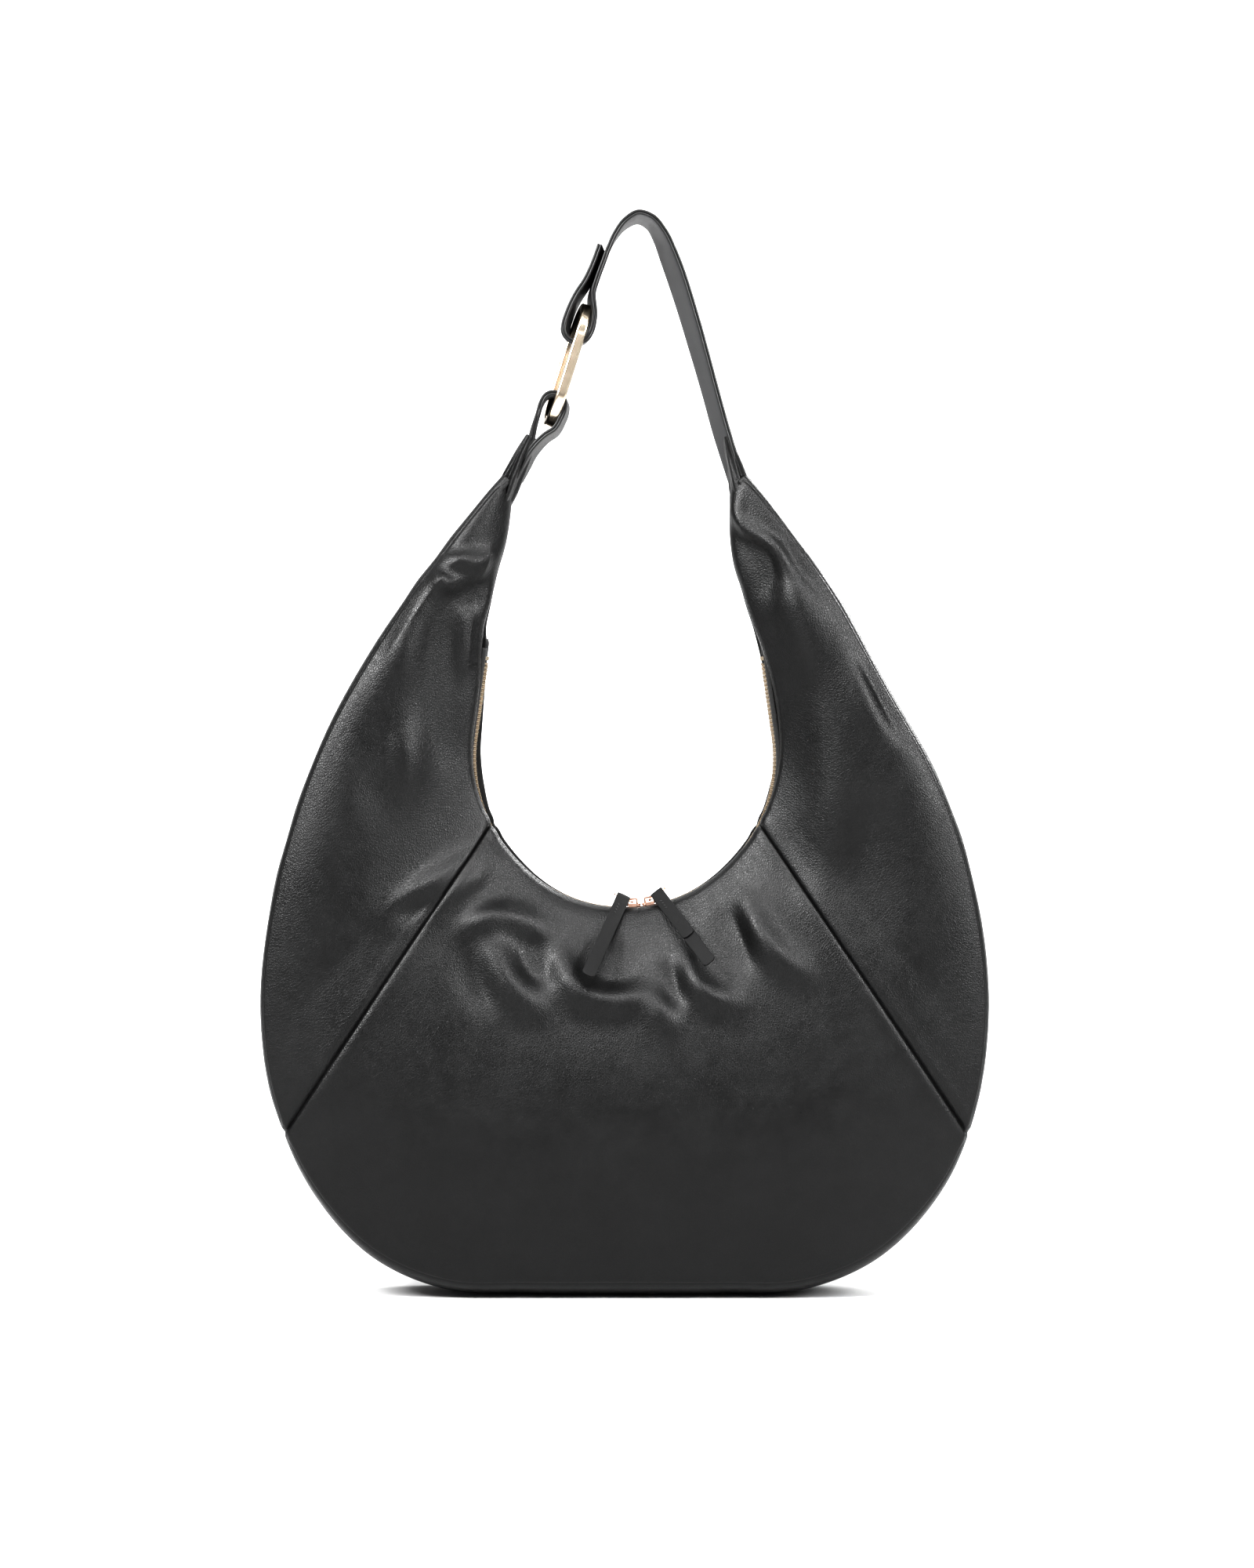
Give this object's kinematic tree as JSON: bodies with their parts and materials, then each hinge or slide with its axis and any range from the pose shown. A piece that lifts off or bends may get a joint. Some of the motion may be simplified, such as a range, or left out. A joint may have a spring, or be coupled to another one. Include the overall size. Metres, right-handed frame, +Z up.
{
  "type": "hobo bag",
  "caption": "Crescent-shaped leather hobo bag with a curved double-ended zipper, hinged pulls, an oval link and a shoulder strap that folds down.",
  "frame": {"origin": "on the floor under the middle of the base, at the middle of the bag's depth", "axes": "+Z up, the front of the bag faces -Y, +X to the right seen from the front"},
  "size_m": [0.4524, 0.1132, 0.6768],
  "materials": {
    "black_leather": "pebbled, soft sheen",
    "strap_inner_leather": "smooth, soft sheen",
    "lining_cloth": "twill",
    "stiffener_board": "matt",
    "zipper_tape": "woven",
    "thread": "thread",
    "pale_gold": "polished",
    "rose_gold": "polished"
  },
  "bodies": {
    "bag": {"front_centre_panel": "black_leather", "front_left_panel": "black_leather", "front_right_panel": "black_leather", "front_lining": "lining_cloth", "front_zipper_tape": "zipper_tape", "front_zipper_teeth": "pale_gold", "back_centre_panel": "black_leather", "back_left_panel": "black_leather", "back_right_panel": "black_leather", "back_lining": "lining_cloth", "back_zipper_tape": "zipper_tape", "back_zipper_teeth": "pale_gold", "gusset_base": "black_leather", "gusset_left": "black_leather", "gusset_right": "black_leather", "gusset_lining": "lining_cloth", "base_stiffener": "stiffener_board", "slip_pocket": "lining_cloth", "zipper_end_stops": "pale_gold", "left_zipper_end_tab": "black_leather", "right_zipper_end_tab": "black_leather", "left_neck": "black_leather", "right_neck": "black_leather"},
    "handle": {"strap_outer": "black_leather", "strap_lining": "strap_inner_leather", "strap_stitches": "thread", "link_tab_outer": "black_leather", "link_tab_lining": "strap_inner_leather", "link_tab_stitches": "thread"},
    "ring_link": {"ring_link": "pale_gold"},
    "slider_left": {"left_slider": "pale_gold"},
    "slider_right": {"right_slider": "pale_gold"},
    "puller_ring_left": {"left_puller_ring": "rose_gold"},
    "puller_ring_right": {"right_puller_ring": "rose_gold"},
    "pull_left": {"left_leather_pull": "black_leather", "left_pull_stitches": "thread"},
    "pull_right": {"right_leather_pull": "black_leather", "right_pull_stitches": "thread"}
  },
  "joints": [
    {"name": "handle_fold", "type": "hinge", "parent": "bag", "child": "handle", "pos_m": [0, 0, 0.499], "axis": [1, 0, 0], "range_deg": [-90, 90]},
    {"name": "ring_twist", "type": "hinge", "parent": "handle", "child": "ring_link", "pos_m": [-0.0358, 0, 0.578], "axis": [0.299, 0, 0.9542], "range_deg": [-16, 1.5]},
    {"name": "slider_left_travel", "type": "hinge", "parent": "bag", "child": "slider_left", "pos_m": [0, 0, 0.3325], "axis": [0, 1, 0], "range_deg": [0, 97.6]},
    {"name": "puller_ring_left_flap", "type": "hinge", "parent": "slider_left", "child": "puller_ring_left", "pos_m": [0.00487, 0, 0.24283], "axis": [0, 1, 0], "range_deg": [0, 80]},
    {"name": "pull_left_swing", "type": "hinge", "parent": "puller_ring_left", "child": "pull_left", "pos_m": [-0.00103, -0.0065, 0.24557], "axis": [-0.9071, 0, 0.421], "range_deg": [0, 110]},
    {"name": "slider_right_travel", "type": "hinge", "parent": "bag", "child": "slider_right", "pos_m": [0, 0, 0.3325], "axis": [0, -1, 0], "range_deg": [0, 84.5]},
    {"name": "puller_ring_right_flap", "type": "hinge", "parent": "slider_right", "child": "puller_ring_right", "pos_m": [0.01548, 0, 0.24404], "axis": [0, -1, 0], "range_deg": [0, 80]},
    {"name": "pull_right_swing", "type": "hinge", "parent": "puller_ring_right", "child": "pull_right", "pos_m": [0.0206, -0.0065, 0.24804], "axis": [-0.7888, 0, -0.6146], "range_deg": [0, 110]}
  ]
}
